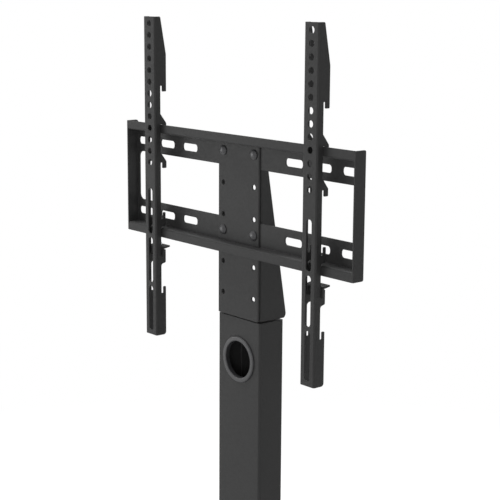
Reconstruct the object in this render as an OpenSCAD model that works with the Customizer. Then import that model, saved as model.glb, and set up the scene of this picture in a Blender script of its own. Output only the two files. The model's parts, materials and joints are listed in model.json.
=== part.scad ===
// Television floor stand: a steel base and post, a swivel head with a folded
// wall plate, and two hook-on rails that carry the screen.
// X is to the viewer's right, Y to the back, Z up, millimetres.
// The origin is on the floor, under the middle of the post.

/* [Base] */
// Width of the base plate
base_w = 620; // [480:5:900]
// Depth of the base plate
base_d = 440; // [340:5:620]
// Thickness of the base plate
base_t = 8; // [6:0.5:12]
// Corner radius of the base plate
base_r = 60; // [20:1:120]
// Diameter of a rubber pad
pad_d = 40; // [30:1:60]
// Height of a rubber pad
pad_h = 7; // [5:0.5:12]
// Pad centre from the edges of the base plate
pad_inset = 62; // [50:1:90]
// Width of the post's foot flange
foot_w = 150; // [130:1:200]
// Depth of the post's foot flange
foot_d = 108; // [90:1:160]
// Thickness of the foot flange
foot_t = 6; // [5:0.5:10]

/* [Post] */
// Width of the rectangular tube
post_w = 84; // [76:1:110]
// Depth of the rectangular tube
post_d = 40; // [36:1:46]
// Wall of the tube
post_wall = 2; // [1.5:0.1:2.4]
// Length of the tube
post_len = 850; // [650:5:1100]
// Outer corner radius of the tube
post_r = 3.5; // [2.6:0.1:5]
// Thickness of the plate that closes the top
cap_t = 5; // [3:0.5:8]
// Bore of the cable grommets
cable_bore = 48.5; // [30:0.5:54]
// Outer diameter of a grommet's flange
cable_flange_d = 61; // [58:0.5:70]
// Drop of the upper cable hole under the top of the tube
cable_drop = 55; // [50:1:120]
// Height of the lower cable hole over the foot flange
cable_low = 62; // [45:1:160]

/* [Swivel] */
// Diameter of the pivot bolt
pivot_d = 12; // [10:0.5:14]
// Diameter of the slip washer between post and head
slip_d = 37; // [30:0.5:37]
// Thickness of the slip washer
slip_t = 1.6; // [1:0.1:3]
// Swivel to each side in degrees
swivel_deg = 40; // [20:1:40]
// Diameter of the stop pins
stop_d = 5; // [4:0.1:5.5]
// Radius of the stop pins about the pivot
stop_r = 22; // [21.8:0.1:22.4]

/* [Head] */
// Distance of the bolt columns from the head's sides
head_edge = 10.2; // [9:0.1:14]
// Height of the head up to its topmost bolt row
head_h = 213; // [211:1:260]
// Length of the head over the topmost bolt row
head_over = 11; // [9:0.5:11.5]
// Sheet of the tapered bracket
head_t = 2; // [1.6:0.1:2.5]
// Depth of the bracket at the topmost bolt row
head_depth_top = 12; // [10:0.5:16]
// Depth of the bracket at its foot
head_depth_foot = 48; // [43:0.5:55]
// Thickness of the plate at the head's foot
sole_t = 2.8; // [2:0.1:4]
// Thickness of the front plate
front_t = 2; // [1.6:0.1:2.5]
// Length of the front plate over the topmost bolt row
front_over = 18; // [15:0.5:20]
// Radius along the front plate's two long edges
front_edge_r = 1.6; // [0.5:0.1:1.8]
// Lead of the front plate over the post's front
front_lead = 2; // [1:0.1:6]
// Spacing of the two columns of bolts
bolt_span = 60; // [50:0.5:62]
// Step of the height holes
row_step = 41; // [30:0.5:41]
// Distance between the two bolts on one side
row_gap = 102.5; // [102.5:0.5:106]
// Number of height holes for each bolt
row_count = 3; // [1:1:3]
// Diameter of the clamp bolts
bolt_d = 6; // [5:0.1:6.5]
// Diameter of the domed bolt heads
dome_d = 12.8; // [11:0.1:14]
// Height of the domed bolt heads
dome_h = 3.3; // [2:0.1:3.6]

/* [Wall plate] */
// Width of the wall plate
plate_w = 445; // [440:1:620]
// Height of the wall plate
plate_h = 152; // [149:1:180]
// Rise of the upper lip over the topmost bolt row
plate_over = 24; // [23.5:0.1:26]
// Sheet of the wall plate
plate_t = 2; // [1.5:0.1:2.4]
// Height of the lips
lip_h = 12; // [11:0.5:14]
// Depth from the lips' front to the front plate
lip_lead = 14.2; // [13.8:0.1:18]
// Width of the wall plate's end frame beside the window
window_side = 4.4; // [2:0.1:12]
// Height of the window
window_h = 67; // [60:0.5:70]
// Corner radius of the window
window_r = 8; // [4:0.5:14]
// Length of a slot
slot_len = 30.5; // [20:0.5:34]
// Height of a slot
slot_h = 10; // [7:0.5:12]
// Corner radius of a slot
slot_r = 4; // [2:0.5:4]
// Step from slot to slot
slot_step = 49.4; // [44:0.1:52]
// Distance between the two rows of slots
slot_rows = 97; // [94:0.5:100]
// Number of slots in a row on each side
slot_count = 3; // [1:1:3]

/* [Rails] */
// Length of a rail
rail_len = 430; // [424:1:520]
// Width of a rail
rail_w = 25; // [22:0.5:28]
// Sheet of a rail
rail_t = 2; // [1.5:0.1:2.2]
// Distance between the rails at rest
rail_span = 314; // [200:1:380]
// Depth of a rail between its hooks
rail_depth = 8.9; // [7:0.1:9.2]
// Depth of a rail at its hooks
hook_depth = 18.4; // [17:0.1:18.6]
// Depth of a rail at its lower tongues
tongue_depth = 16.3; // [15:0.1:17]
// Depth of a rail at its top
top_depth = 9.4; // [9.2:0.1:16]
// Rise of the rail's top over the wall plate
rail_over = 141.8; // [138:0.1:150]
// Step of the hooks and of the tongues
hook_step = 51.1; // [48:0.1:54]
// Width of a hook's mouth
hook_gap = 3.3; // [3:0.1:3.6]
// Reach of a hook behind the lip
hook_reach = 7.7; // [5:0.1:9]
// Height of a hook's sloping back
hook_slope = 12.5; // [9:0.5:20]
// Length of the slope at the rail's top
top_slope = 49; // [30:1:50]
// Depth of a tongue's mouth
tongue_mouth = 9; // [7:0.1:11]
// Width of a tongue's mouth
tongue_gap = 3.6; // [3.4:0.1:4.2]
// Drop of the tongues under the lower lip
tongue_drop = 17.6; // [16:0.1:22]
// Diameter of a rail's round holes
rail_hole_d = 8.4; // [7:0.1:11]
// Step of a rail's round holes
rail_hole_step = 15.27; // [13:0.01:15.4]
// First round hole from the rail's top
rail_hole_top = 9; // [8:0.5:11]
// Number of round holes
rail_hole_count = 13; // [4:1:13]
// Top of the first long slot under the rail's top
rail_slot_top = 227.5; // [223:0.5:228]
// Length of a rail's long slots
rail_slot_len = 62; // [40:0.5:62.5]
// Step of a rail's long slots
rail_slot_step = 67.2; // [66.8:0.1:68]

/* [Locks] */
// Width of a locking bracket
lock_w = 31; // [30:0.5:34]
// Sheet of a locking bracket
lock_t = 2.2; // [1.6:0.1:2.4]
// Length of a locking bracket's tab
lock_tab = 11.6; // [11.2:0.1:12.4]
// Gap between the lower lip and the front of the tab
lock_drop = 14.1; // [13:0.1:15]
// Rise of the tab to the back in degrees
lock_lean = 10; // [0:0.5:10]
// Diameter of a safety screw
safety_d = 4; // [3:0.1:4.2]
// Length of a safety screw under its head
safety_len = 18; // [15:0.5:18.5]
// Diameter of a safety screw's head
safety_head_d = 7; // [6:0.1:7.2]
// Height of a safety screw's head
safety_head_h = 2.8; // [2.6:0.1:4]
// Travel of a safety screw up behind the lower lip
safety_travel = 9; // [6:0.5:9]

/* [Hidden] */
$fn = 64;

// Overrun of every cut past the face that it opens
over = 1;
// Play of a bolt in a plain hole, on the diameter
bolt_play = 0.6;
// Play of a screw in the hole that its thread holds, on the diameter
thread_play = 0.1;
// Play of the swivel on its pivot, on the diameter
pivot_play = 0.1;
// Running gap over and under the turning head
run_gap = 0.1;
// Side play where one sheet passes through another
pass_play = 0.4;

// Radii of the bends in sheet steel
bend_in = 0.6;
post_r_in = post_r - post_wall;
foot_r_share = 0.11;
foot_r = foot_w * foot_r_share;

// Screws of the rubber pads
pad_screw_d = 5;
pad_head_d = 10;
pad_head_h = 2.6;
pad_recess_d = 14;
pad_recess_share = 0.5;
pad_recess = pad_h * pad_recess_share;
pad_edge = 1.5;

// Screws of the foot flange
flange_screw_d = 8;
flange_head_d = 14;
flange_head_h = 4.4;
flange_key = 5;
flange_key_deep = 2.4;
flange_inset = 15;

// Heights of the fixed stack
z_plate = pad_h;
z_foot = z_plate + base_t;
z_post = z_foot + foot_t;
z_post_top = z_post + post_len;
z_sole = z_post_top + slip_t + 2 * run_gap;
z_sole_top = z_sole + sole_t;
z_row = z_sole + head_h;
z_cable = z_post_top - cable_drop;
z_cable_low = z_post + cable_low;

// Grommets: sleeve and snap rim
sleeve_wall = 1.6;
sleeve_d = cable_bore + 2 * sleeve_wall;
rim_wall = 0.9;
rim_len = 2.4;
flange_len = 2.2;
flange_edge = 0.8;

// Pivot parts
pivot_head_af = 19;
pivot_head_h = 7.5;
top_washer_d = 28;
top_washer_t = 1.6;
disc_d = 25;
disc_t = 1.2;
disc_cone = 0.5;
disc_count = 2;
nut_af = 19;
nut_h = 6.4;
nut_collar_d = 16;
nut_collar_h = 1.6;
bolt_end = 1.2;
z_washer_top = z_sole_top + run_gap + top_washer_t;
disc_pair_h = disc_t + disc_cone;
z_nut = z_washer_top + disc_count * disc_pair_h;
z_pivot_end = z_nut + nut_h + nut_collar_h + bolt_end;
stop_under = 0.4;
stop_play = 0.5;

// Depths of the head, from the front plate's front to the back
head_w = bolt_span + 2 * head_edge;
y_front = -post_d / 2 - front_lead;
y_web = y_front + front_t;
y_bracket = y_web + plate_t;
y_bracket_in = y_bracket + head_t;
head_r = head_t + bend_in;
head_foot_r = 7;
head_in_w = head_w - 2 * head_t;
z_head_top = z_row + head_over;
head_slope = (head_depth_foot - head_depth_top) / head_h;
front_r = 3;
hole_d = bolt_d + bolt_play;
comb_half_w = bolt_span / 2 - 8;
comb_slot_h = hole_d + 1.4;
comb_r = comb_slot_h / 2 - 0.4;

// Heights of the wall plate
y_lip = y_front - lip_lead;
z_lip_top = z_row + plate_over;
z_lip_low = z_lip_top - plate_h;
z_plate_mid = z_lip_top - plate_h / 2;
z_flange_up = z_lip_top - lip_h;
z_flange_low = z_lip_low + lip_h;
y_plate_back = y_web + plate_t;
plate_end_r = 4;
plate_r = plate_t + bend_in;
slot_first = plate_w / 2 - plate_t - window_side - slot_len / 2;

// Clamp washers and nuts
clamp_washer_d = 14;
clamp_washer_t = 1.4;
clamp_nut_af = 10;
clamp_nut_h = 5;
y_clamp_nut = y_bracket_in + clamp_washer_t;
clamp_len = y_clamp_nut + clamp_nut_h + bolt_end - y_front;

// Depths and heights of the rails
seat_gap = 0.3;
hang_gap = 0.3;
y_rail_back = y_lip - seat_gap;
y_rail = y_rail_back - rail_depth;
y_hook = y_rail + hook_depth;
y_tongue = y_rail + tongue_depth;
z_hang = z_lip_top + hang_gap;
z_rail_top = z_lip_top + rail_over;
z_rail_low = z_rail_top - rail_len;
rail_r = rail_t + bend_in;
rail_corner_r = 2;
rail_foot_r = 4;
tip_r = 1.1;
mouth_r = 0.8;
notch_r = 0.6;
hook_nib = 1.5;
hook_back_r = 3.2;
z_tongue = z_lip_low - tongue_drop;
tongue_len = 18;
tongue_foot = 1.6;
tongue_foot_r = 3.6;
rail_slot_w = 9;

// Heights of the locks
z_tab = z_lip_low - lock_drop;
z_lock_low = z_tongue - tongue_mouth;
y_lock = y_rail_back + (tongue_gap - lock_t) / 2;
tab_run = [cos(lock_lean), sin(lock_lean)];
tab_up = [-sin(lock_lean), cos(lock_lean)];
tab_end = [y_lock, z_tab] + lock_tab * tab_run;
safety_at = lock_tab - safety_head_d / 2 - bend_in;
safety_seat = [y_lock, z_tab] + safety_at * tab_run - lock_t * tab_up;
safety_key = 2.5;
safety_key_deep = 1.6;

// Rounds the corners of an outline: one radius per point, arcs of equal steps
function unit(v) = v / norm(v);
function arc_steps() = 6;
function fillet(a, b, c, r) =
    r <= 0 ? [b] :
    let (
        u = unit(a - b),
        w = unit(c - b),
        half = acos(min(1, max(-1, u * w))) / 2,
        reach = r / tan(half),
        centre = b + unit(u + w) * (r / sin(half)),
        from = b + u * reach - centre,
        to = b + w * reach - centre,
        a0 = atan2(from[1], from[0]),
        turn = atan2(to[1], to[0]) - a0,
        sweep = turn > 180 ? turn - 360 : turn < -180 ? turn + 360 : turn
    )
    [for (i = [0 : arc_steps()]) centre + r * [
        cos(a0 + sweep * i / arc_steps()),
        sin(a0 + sweep * i / arc_steps())
    ]];
function rounded(points, radii) = [
    for (i = [0 : len(points) - 1])
        each fillet(
            points[(i + len(points) - 1) % len(points)],
            points[i],
            points[(i + 1) % len(points)],
            radii[i]
        )
];

// A rectangle about the origin with round corners
module round_rect(w, d, r) {
    square([w - 2 * r, d], center = true);
    square([w, d - 2 * r], center = true);
    for (x = [-1, 1])
        for (y = [-1, 1])
            translate([x * (w / 2 - r), y * (d / 2 - r)])
                circle(r = r);
}

// Turns a shape drawn in X and Z so that its thickness runs to the back from y
module from_front(y, t) {
    translate([0, y + t, 0])
        rotate([90, 0, 0])
            linear_extrude(t)
                children();
}

// Turns a profile drawn in Y and Z so that it runs along X from x
module along_x(x, w) {
    translate([x, 0, 0])
        rotate([90, 0, 90])
            linear_extrude(w)
                children();
}

// A cylinder that runs to the back from y
module bore_y(x, y, z, d, len) {
    translate([x, y, z])
        rotate([-90, 0, 0])
            cylinder(d = d, h = len);
}

// A hexagon across its flats
module hexagon(af) {
    circle(d = af / cos(180 / 6), $fn = 6);
}

// A domed cap that rises from the plane z = 0
module dome(d, h) {
    ball = (d * d / 4 + h * h) / (2 * h);
    rotate_extrude()
        intersection() {
            translate([0, h - ball])
                circle(r = ball, $fn = 128);
            square([d / 2, h]);
        }
}

module pad_places() {
    for (x = [-1, 1])
        for (y = [-1, 1])
            translate([x * (base_w / 2 - pad_inset), y * (base_d / 2 - pad_inset), 0])
                children();
}

module flange_places() {
    for (x = [-1, 1])
        for (y = [-1, 1])
            translate([x * (foot_w / 2 - flange_inset), y * (foot_d / 2 - flange_inset), 0])
                children();
}

// Steel plate that stands on the floor
module base_plate() {
    color([0.27, 0.27, 0.28])
        difference() {
            translate([0, 0, z_plate])
                linear_extrude(base_t)
                    round_rect(base_w, base_d, base_r);
            pad_places()
                translate([0, 0, z_plate - over])
                    cylinder(d = pad_screw_d + thread_play, h = base_t + 2 * over);
            flange_places()
                translate([0, 0, z_plate - over])
                    cylinder(d = flange_screw_d + thread_play, h = base_t + 2 * over);
        }
}

// Rubber pads with a sunk screw
module rubber_feet() {
    color([0.12, 0.12, 0.12])
        pad_places()
            rotate_extrude()
                polygon([
                    [pad_recess_d / 2, 0],
                    [pad_d / 2 - pad_edge, 0],
                    [pad_d / 2, pad_edge],
                    [pad_d / 2, pad_h],
                    [pad_screw_d / 2 + bolt_play / 2, pad_h],
                    [pad_screw_d / 2 + bolt_play / 2, pad_recess],
                    [pad_recess_d / 2, pad_recess]
                ]);
}

// Pan-head screws that hold the pads
module foot_screws() {
    color([0.55, 0.55, 0.56])
        pad_places() {
            translate([0, 0, pad_recess - pad_head_h])
                cylinder(d = pad_head_d, h = pad_head_h);
            translate([0, 0, pad_recess])
                cylinder(d = pad_screw_d, h = z_foot - pad_recess - over);
        }
}

// Plate welded under the post
module foot_flange() {
    color([0.27, 0.27, 0.28])
        difference() {
            translate([0, 0, z_foot])
                linear_extrude(foot_t)
                    round_rect(foot_w, foot_d, foot_r);
            flange_places()
                translate([0, 0, z_foot - over])
                    cylinder(d = flange_screw_d + bolt_play, h = foot_t + 2 * over);
        }
}

// Button-head screws of the foot flange
module flange_screws() {
    color([0.2, 0.2, 0.21])
        flange_places()
            difference() {
                union() {
                    translate([0, 0, z_post])
                        dome(flange_head_d, flange_head_h);
                    translate([0, 0, z_plate + over])
                        cylinder(d = flange_screw_d, h = z_post - z_plate - over);
                }
                translate([0, 0, z_post + flange_head_h - flange_key_deep])
                    linear_extrude(flange_key_deep + over)
                        hexagon(flange_key);
            }
}

// Rectangular steel tube, with a cable hole high in front and low behind
module post() {
    color([0.27, 0.27, 0.28])
        difference() {
            translate([0, 0, z_post])
                linear_extrude(post_len)
                    difference() {
                        round_rect(post_w, post_d, post_r);
                        round_rect(post_w - 2 * post_wall, post_d - 2 * post_wall, post_r_in);
                    }
            bore_y(0, -post_d / 2 - over, z_cable, sleeve_d + thread_play, post_wall + 2 * over);
            bore_y(0, post_d / 2 - post_wall - over, z_cable_low, sleeve_d + thread_play,
                post_wall + 2 * over);
        }
}

// Plate welded inside the top of the tube, flush with its end
module post_cap() {
    color([0.27, 0.27, 0.28])
        translate([0, 0, z_post_top - cap_t])
            linear_extrude(cap_t)
                difference() {
                    round_rect(post_w - 2 * post_wall, post_d - 2 * post_wall, post_r_in);
                    circle(d = pivot_d + thread_play);
                    for (side = [-1, 1])
                        translate([side * stop_r, 0])
                            circle(d = stop_d + thread_play);
                }
}

// Grommet about the Z axis: the flange's back lies on z = 0, the sleeve runs down
module grommet() {
    rotate_extrude()
        polygon([
            [cable_bore / 2, flange_len - flange_edge],
            [cable_bore / 2 + flange_edge, flange_len],
            [cable_flange_d / 2 - flange_edge, flange_len],
            [cable_flange_d / 2, flange_len - flange_edge],
            [cable_flange_d / 2, 0],
            [sleeve_d / 2, 0],
            [sleeve_d / 2, -post_wall],
            [sleeve_d / 2 + rim_wall, -post_wall],
            [sleeve_d / 2, -post_wall - rim_len],
            [cable_bore / 2, -post_wall - rim_len]
        ]);
}

module cable_grommet() {
    color([0.16, 0.16, 0.17])
        translate([0, -post_d / 2, z_cable])
            rotate([90, 0, 0])
                grommet();
}

module lower_grommet() {
    color([0.16, 0.16, 0.17])
        translate([0, post_d / 2, z_cable_low])
            rotate([-90, 0, 0])
                grommet();
}

// Hex bolt that stands up through the cap
module pivot_bolt() {
    color([0.55, 0.55, 0.56]) {
        translate([0, 0, z_post_top - cap_t - pivot_head_h])
            linear_extrude(pivot_head_h)
                hexagon(pivot_head_af);
        translate([0, 0, z_post_top - cap_t])
            cylinder(d = pivot_d, h = z_pivot_end - z_post_top + cap_t);
    }
}

// Two pins in the cap that end the swivel
module stop_pins() {
    color([0.55, 0.55, 0.56])
        for (side = [-1, 1])
            translate([side * stop_r, 0, z_post_top - cap_t])
                cylinder(d = stop_d, h = z_sole_top - stop_under - z_post_top + cap_t);
}

// Plastic washer that the head turns on
module slip_washer() {
    color([0.85, 0.84, 0.8])
        translate([0, 0, z_post_top])
            linear_extrude(slip_t)
                difference() {
                    circle(d = slip_d);
                    circle(d = pivot_d + thread_play);
                }
}

module top_washer() {
    color([0.6, 0.6, 0.61])
        translate([0, 0, z_sole_top + run_gap])
            linear_extrude(top_washer_t)
                difference() {
                    circle(d = top_washer_d);
                    circle(d = pivot_d + thread_play);
                }
}

// Two cone washers, rim to rim in one stack
module disc_springs() {
    color([0.6, 0.6, 0.61])
        for (i = [0 : disc_count - 1])
            translate([0, 0, z_washer_top + i * disc_pair_h])
                rotate_extrude()
                    polygon([
                        [(pivot_d + thread_play) / 2, i % 2 == 0 ? disc_cone : 0],
                        [disc_d / 2, i % 2 == 0 ? 0 : disc_cone],
                        [disc_d / 2, (i % 2 == 0 ? 0 : disc_cone) + disc_t],
                        [(pivot_d + thread_play) / 2, (i % 2 == 0 ? disc_cone : 0) + disc_t]
                    ]);
}

// Lock nut with its collar
module pivot_nut() {
    color([0.6, 0.6, 0.61])
        translate([0, 0, z_nut])
            difference() {
                union() {
                    linear_extrude(nut_h)
                        hexagon(nut_af);
                    cylinder(d = nut_collar_d, h = nut_h + nut_collar_h);
                }
                translate([0, 0, -over])
                    cylinder(d = pivot_d + thread_play, h = nut_h + nut_collar_h + 2 * over);
            }
}

// Centres of all height holes, as places in X and Z
function row_drops() = [
    for (group = [0, 1])
        for (i = [0 : row_count - 1])
            group * row_gap + i * row_step
];

module height_holes(y, len) {
    for (x = [-1, 1])
        for (drop = row_drops())
            bore_y(x * bolt_span / 2, y, z_row - drop, hole_d, len);
}

// Folded bracket: an open web with two side flanges that deepen to the foot
module head_bracket() {
    depth = head_depth_foot + y_front - y_bracket;
    rear = y_front + head_depth_foot;
    color([0.27, 0.27, 0.28])
        difference() {
            intersection() {
                translate([0, y_bracket, z_sole])
                    linear_extrude(z_head_top - z_sole)
                        difference() {
                            translate([0, depth])
                                round_rect(head_w, 2 * depth, head_r);
                            translate([0, head_t + depth])
                                round_rect(head_in_w, 2 * depth, bend_in);
                            translate([-head_w / 2 - over, depth])
                                square([head_w + 2 * over, 2 * depth]);
                        }
                along_x(-head_w / 2 - over, head_w + 2 * over)
                    polygon(rounded(
                        [
                            [y_bracket - over, z_sole - over],
                            [y_bracket - over, z_head_top + over],
                            [y_front + head_depth_top - head_slope * (head_over + over),
                                z_head_top + over],
                            [rear, z_sole],
                            [rear - head_foot_r, z_sole - over]
                        ],
                        [0, 0, 0, head_foot_r, 0]
                    ));
            }
            translate([-head_in_w / 2, y_bracket - over, z_sole - over])
                cube([head_in_w, head_depth_foot, sole_t + over]);
            web_comb();
        }
}

// Window in the bracket's web, with a slot to each side for every bolt
module web_comb() {
    drop = row_gap + (row_count - 1) * row_step;
    translate([0, 0, z_row - drop / 2])
        from_front(y_bracket - over, head_t + 2 * over)
            square([2 * comb_half_w, drop + comb_slot_h], center = true);
    for (low = row_drops())
        translate([0, 0, z_row - low])
            from_front(y_bracket - over, head_t + 2 * over)
                round_rect(bolt_span + hole_d, comb_slot_h, comb_r);
}

// Curved slot about the pivot, as long as the swivel, with round ends
module arc_slot() {
    translate([0, 0, -over])
        rotate([0, 0, -swivel_deg])
            rotate_extrude(angle = 2 * swivel_deg)
                translate([stop_r - (stop_d + stop_play) / 2, 0])
                    square([stop_d + stop_play, sole_t + 2 * over]);
    for (side = [-1, 1])
        rotate([0, 0, side * swivel_deg])
            translate([stop_r, 0, -over])
                cylinder(d = stop_d + stop_play, h = sole_t + 2 * over);
}

// Foot plate of the head, with the pivot bore and the stops' arc slots
module head_sole() {
    depth = y_front + head_depth_foot - head_foot_r - y_web;
    color([0.27, 0.27, 0.28])
        translate([0, 0, z_sole])
            difference() {
                translate([-head_in_w / 2, y_web, 0])
                    cube([head_in_w, depth, sole_t]);
                translate([0, 0, -over])
                    cylinder(d = pivot_d + pivot_play, h = sole_t + 2 * over);
                for (half = [0, 180])
                    rotate([0, 0, half])
                        arc_slot();
            }
}

// Flat front plate, in front of the wall plate's web and behind its lips
module front_plate() {
    height = z_row + front_over - z_sole;
    color([0.27, 0.27, 0.28])
        difference() {
            intersection() {
                translate([0, 0, z_sole + height / 2])
                    from_front(y_front - over, front_t + 2 * over)
                        round_rect(head_w, height, front_r);
                translate([0, 0, z_sole])
                    linear_extrude(height)
                        polygon(rounded(
                            [
                                [-head_w / 2, y_front],
                                [head_w / 2, y_front],
                                [head_w / 2, y_web],
                                [-head_w / 2, y_web]
                            ],
                            [front_edge_r, front_edge_r, 0, 0]
                        ));
            }
            height_holes(y_front - over, front_t + 2 * over);
        }
}

module window_cut() {
    translate([0, 0, z_plate_mid])
        from_front(y_web - over, plate_t + 2 * over)
            round_rect(plate_w - 2 * (plate_t + window_side), window_h, window_r);
}

module slot_cuts() {
    for (side = [-1, 1])
        for (row = [-1, 1])
            for (i = [0 : slot_count - 1])
                translate([side * (slot_first - i * slot_step), 0,
                    z_plate_mid + row * slot_rows / 2])
                    from_front(y_web - over, plate_t + 2 * over)
                        round_rect(slot_len, slot_h, slot_r);
}

// Folded wall plate: web, two flanges, an upward and a downward lip, closed ends
module wall_plate() {
    color([0.27, 0.27, 0.28])
        difference() {
            intersection() {
                plate_fold();
                translate([0, 0, z_lip_low - over])
                    linear_extrude(plate_h + 2 * over)
                        polygon(rounded(
                            [
                                [-plate_w / 2, y_lip - over],
                                [plate_w / 2, y_lip - over],
                                [plate_w / 2, y_plate_back],
                                [-plate_w / 2, y_plate_back]
                            ],
                            [0, 0, plate_r, plate_r]
                        ));
            }
            window_cut();
            slot_cuts();
            for (x = [-1, 1])
                for (drop = [0, row_gap])
                    bore_y(x * bolt_span / 2, y_web - over, z_row - drop, hole_d,
                        plate_t + 2 * over);
            for (z = [z_flange_up - over, z_flange_low - plate_t - over])
                translate([-head_w / 2 - pass_play, y_front - pass_play, z])
                    cube([head_w + 2 * pass_play, front_t + pass_play, plate_t + 2 * over]);
        }
}

// The folded sheet before its cuts, with the two ends
module plate_fold() {
    along_x(-plate_w / 2 + plate_t, plate_w - 2 * plate_t)
        polygon(rounded(
            [
                [y_lip, z_lip_top],
                [y_lip + plate_t, z_lip_top],
                [y_lip + plate_t, z_flange_up + plate_t],
                [y_plate_back, z_flange_up + plate_t],
                [y_plate_back, z_flange_low - plate_t],
                [y_lip + plate_t, z_flange_low - plate_t],
                [y_lip + plate_t, z_lip_low],
                [y_lip, z_lip_low],
                [y_lip, z_flange_low],
                [y_web, z_flange_low],
                [y_web, z_flange_up],
                [y_lip, z_flange_up]
            ],
            [0, 0, bend_in, plate_r, plate_r, bend_in,
                0, 0, plate_r, bend_in, bend_in, plate_r]
        ));
    for (side = [-1, 1])
        along_x(side * (plate_w / 2 - plate_t / 2) - plate_t / 2, plate_t)
            polygon(rounded(
                [
                    [y_lip, z_lip_low],
                    [y_lip, z_lip_top],
                    [y_plate_back, z_lip_top],
                    [y_plate_back, z_lip_low]
                ],
                [bend_in, bend_in, plate_end_r, plate_end_r]
            ));
}

module clamp_places(y) {
    for (x = [-1, 1])
        for (drop = [0, row_gap])
            translate([x * bolt_span / 2, y, z_row - drop])
                rotate([-90, 0, 0])
                    children();
}

// Four domed bolts that clamp front plate, wall plate and bracket
module clamp_bolts() {
    color([0.24, 0.24, 0.25])
        clamp_places(y_front) {
            rotate([180, 0, 0])
                dome(dome_d, dome_h);
            cylinder(d = bolt_d, h = clamp_len);
        }
}

module clamp_washers() {
    color([0.6, 0.6, 0.61])
        clamp_places(y_bracket_in)
            linear_extrude(clamp_washer_t)
                difference() {
                    circle(d = clamp_washer_d);
                    circle(d = bolt_d + bolt_play);
                }
}

module clamp_nuts() {
    color([0.6, 0.6, 0.61])
        clamp_places(y_clamp_nut)
            linear_extrude(clamp_nut_h)
                difference() {
                    hexagon(clamp_nut_af);
                    circle(d = bolt_d + thread_play);
                }
}

// Side view of a rail's flange, from the front edge back, drawn in Y and Z
function hook_points(z) = [
    [y_rail_back, z + hook_nib + hook_slope],
    [y_hook, z + hook_nib],
    [y_hook, z - hook_reach],
    [y_rail_back + hook_gap, z - hook_reach],
    [y_rail_back + hook_gap, z],
    [y_rail_back, z]
];
hook_radii = [0, hook_back_r, tip_r, tip_r, mouth_r, mouth_r];
function tongue_points(z) = [
    [y_rail_back, z - tongue_mouth],
    [y_rail_back + tongue_gap, z - tongue_mouth],
    [y_rail_back + tongue_gap, z],
    [y_tongue, z],
    [y_tongue, z - tongue_len],
    [y_rail_back, z - tongue_len - tongue_foot]
];
tongue_radii = [notch_r, notch_r, tip_r, tip_r, rail_corner_r, tongue_foot_r];
function rail_outline() = concat(
    [
        [y_rail - over, z_rail_low - over],
        [y_rail - over, z_rail_top],
        [y_rail + top_depth, z_rail_top],
        [y_hook, z_rail_top - top_slope],
        [y_hook, z_hang + hook_step - hook_reach],
        [y_rail_back + hook_gap, z_hang + hook_step - hook_reach],
        [y_rail_back + hook_gap, z_hang + hook_step],
        [y_rail_back, z_hang + hook_step]
    ],
    hook_points(z_hang),
    hook_points(z_hang - hook_step),
    tongue_points(z_tongue + hook_step),
    tongue_points(z_tongue),
    [
        [y_rail_back, z_tongue - hook_step - tongue_mouth],
        [y_rail_back + tongue_gap, z_tongue - hook_step - tongue_mouth],
        [y_rail_back + tongue_gap, z_tongue - hook_step],
        [y_tongue, z_tongue - hook_step],
        [y_tongue, z_rail_low],
        [y_rail, z_rail_low]
    ]
);
function rail_radii() = concat(
    [0, 0, rail_corner_r, rail_foot_r, tip_r, tip_r, mouth_r, mouth_r],
    hook_radii,
    hook_radii,
    tongue_radii,
    tongue_radii,
    [notch_r, notch_r, tip_r, tip_r, rail_foot_r, 0]
);

// Channel with holes and slots in its front and hooks along both flanges
module rail() {
    color([0.27, 0.27, 0.28])
        difference() {
            intersection() {
                translate([0, y_rail, z_rail_low])
                    linear_extrude(rail_len)
                        difference() {
                            translate([0, hook_depth])
                                round_rect(rail_w, 2 * hook_depth, rail_r);
                            translate([0, rail_t + hook_depth])
                                round_rect(rail_w - 2 * rail_t, 2 * hook_depth, bend_in);
                            translate([-rail_w / 2 - over, hook_depth + over])
                                square([rail_w + 2 * over, 2 * hook_depth]);
                        }
                along_x(-rail_w / 2 - over, rail_w + 2 * over)
                    polygon(rounded(rail_outline(), rail_radii()));
            }
            for (i = [0 : rail_hole_count - 1])
                bore_y(0, y_rail - over, z_rail_top - rail_hole_top - i * rail_hole_step,
                    rail_hole_d, rail_t + 2 * over);
            for (i = [0 : 2])
                translate([0, 0, z_rail_top - rail_slot_top - i * rail_slot_step
                    - rail_slot_len / 2])
                    from_front(y_rail - over, rail_t + 2 * over)
                        long_slot();
        }
}

module long_slot() {
    square([rail_slot_w, rail_slot_len - rail_slot_w], center = true);
    for (end = [-1, 1])
        translate([0, end * (rail_slot_len - rail_slot_w) / 2])
            circle(d = rail_slot_w);
}

// Moves a shape from the origin to the safety screw's seat under the tab
module at_safety() {
    translate([0, safety_seat[0], safety_seat[1]])
        rotate([lock_lean, 0, 0])
            children();
}

// Angle that stands in the middle tongues, with a tab under the lower lip
module lock() {
    inner = [y_lock + lock_t, z_tab - lock_t * (1 - tab_run[1]) / tab_run[0]];
    color([0.24, 0.24, 0.25])
        difference() {
            along_x(-lock_w / 2, lock_w)
                polygon(rounded(
                    [
                        [y_lock, z_lock_low],
                        [y_lock, z_tab],
                        tab_end,
                        tab_end - lock_t * tab_up,
                        inner,
                        [y_lock + lock_t, z_lock_low]
                    ],
                    [0, lock_t + bend_in, 0, 0, bend_in, 0]
                ));
            at_safety()
                translate([0, 0, -over])
                    cylinder(d = safety_d + thread_play, h = lock_t + 2 * over);
        }
}

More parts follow.
